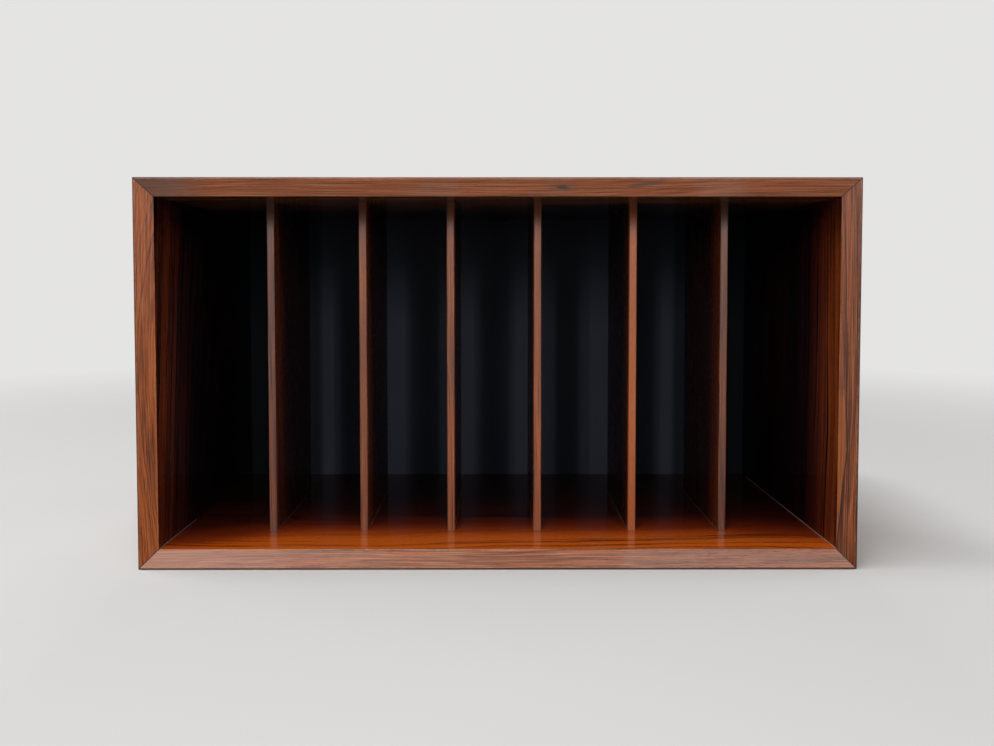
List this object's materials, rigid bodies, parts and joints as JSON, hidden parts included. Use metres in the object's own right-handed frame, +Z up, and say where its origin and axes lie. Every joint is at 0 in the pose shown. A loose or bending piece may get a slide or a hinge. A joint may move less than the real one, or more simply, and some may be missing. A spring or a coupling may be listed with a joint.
{
  "type": "record cabinet",
  "caption": "Wall-hung open record cabinet: a mitred rosewood box with bevelled front edges, thin fixed upright dividers, a dark back panel and keyhole hangers.",
  "frame": {"origin": "middle of the underside", "axes": "+X to the right as seen from the front, -Y out of the open front, +Z up"},
  "size_m": [0.7, 0.36, 0.38],
  "materials": {
    "rosewood_boards": "rosewood veneer, satin to gloss lacquer",
    "rosewood_lippings": "solid rosewood, satin oil",
    "rosewood_dividers": "rosewood veneer, satin lacquer",
    "rosewood_divider_lippings": "solid rosewood, satin oil",
    "black_back": "smooth black paint on hardboard, semi-gloss",
    "beech": "bare planed beech",
    "plated_steel": "zinc-plated sheet steel",
    "screw_steel": "zinc-plated, slotted countersunk heads"
  },
  "bodies": {
    "root": {"bottom_board": "rosewood_boards", "top_board": "rosewood_boards", "left_side": "rosewood_boards", "right_side": "rosewood_boards", "bottom_lipping": "rosewood_lippings", "top_lipping": "rosewood_lippings", "left_lipping": "rosewood_lippings", "right_lipping": "rosewood_lippings", "spline_bottom_left": "beech", "spline_bottom_right": "beech", "spline_top_left": "beech", "spline_top_right": "beech", "divider_1": "rosewood_dividers", "divider_lipping_1": "rosewood_divider_lippings", "divider_2": "rosewood_dividers", "divider_lipping_2": "rosewood_divider_lippings", "divider_3": "rosewood_dividers", "divider_lipping_3": "rosewood_divider_lippings", "divider_4": "rosewood_dividers", "divider_lipping_4": "rosewood_divider_lippings", "divider_5": "rosewood_dividers", "divider_lipping_5": "rosewood_divider_lippings", "divider_6": "rosewood_dividers", "divider_lipping_6": "rosewood_divider_lippings", "back_panel": "black_back", "hanging_rail": "beech", "lower_batten": "beech", "rail_dowels": "beech", "keyhole_plate_left": "plated_steel", "keyhole_plate_right": "plated_steel", "plate_screws": "screw_steel"}
  },
  "joints": []
}
